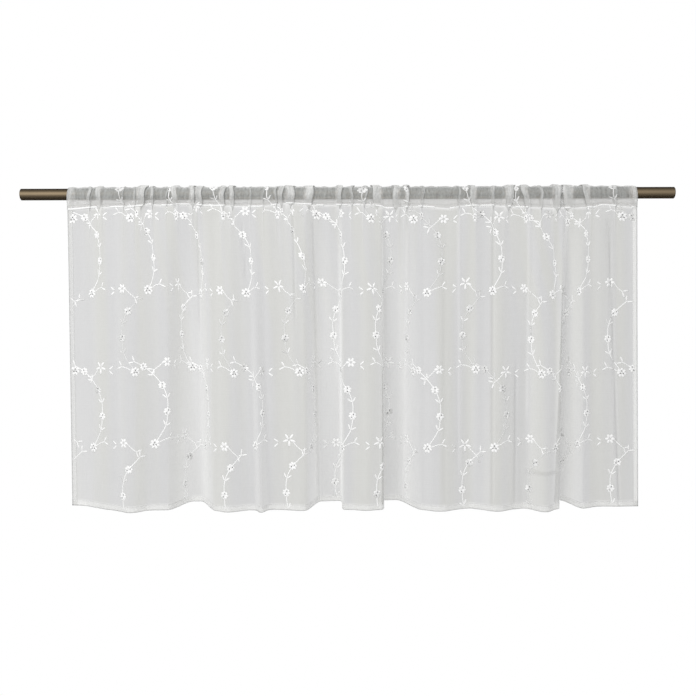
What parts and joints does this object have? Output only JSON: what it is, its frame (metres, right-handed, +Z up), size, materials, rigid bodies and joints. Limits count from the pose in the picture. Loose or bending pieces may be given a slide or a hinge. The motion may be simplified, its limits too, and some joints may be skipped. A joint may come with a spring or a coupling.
{
  "type": "cafe curtain on a rod",
  "caption": "Short sheer cafe curtain with white stitched flower garlands, gathered by its pocket on a straight round metal rod.",
  "frame": {"origin": "on the rod's axis, midway between the rod's ends", "axes": "+X along the rod to the right as seen from the front, +Y from the curtain's front to its back, +Z up"},
  "size_m": [0.906, 0.065, 0.4529],
  "materials": {
    "sheer_cloth": "sheer plain weave with white satin stitch",
    "rod_metal": "satin bronze brown"
  },
  "bodies": {
    "root": {"curtain_panel": "sheer_cloth", "rod": "rod_metal"}
  },
  "joints": []
}
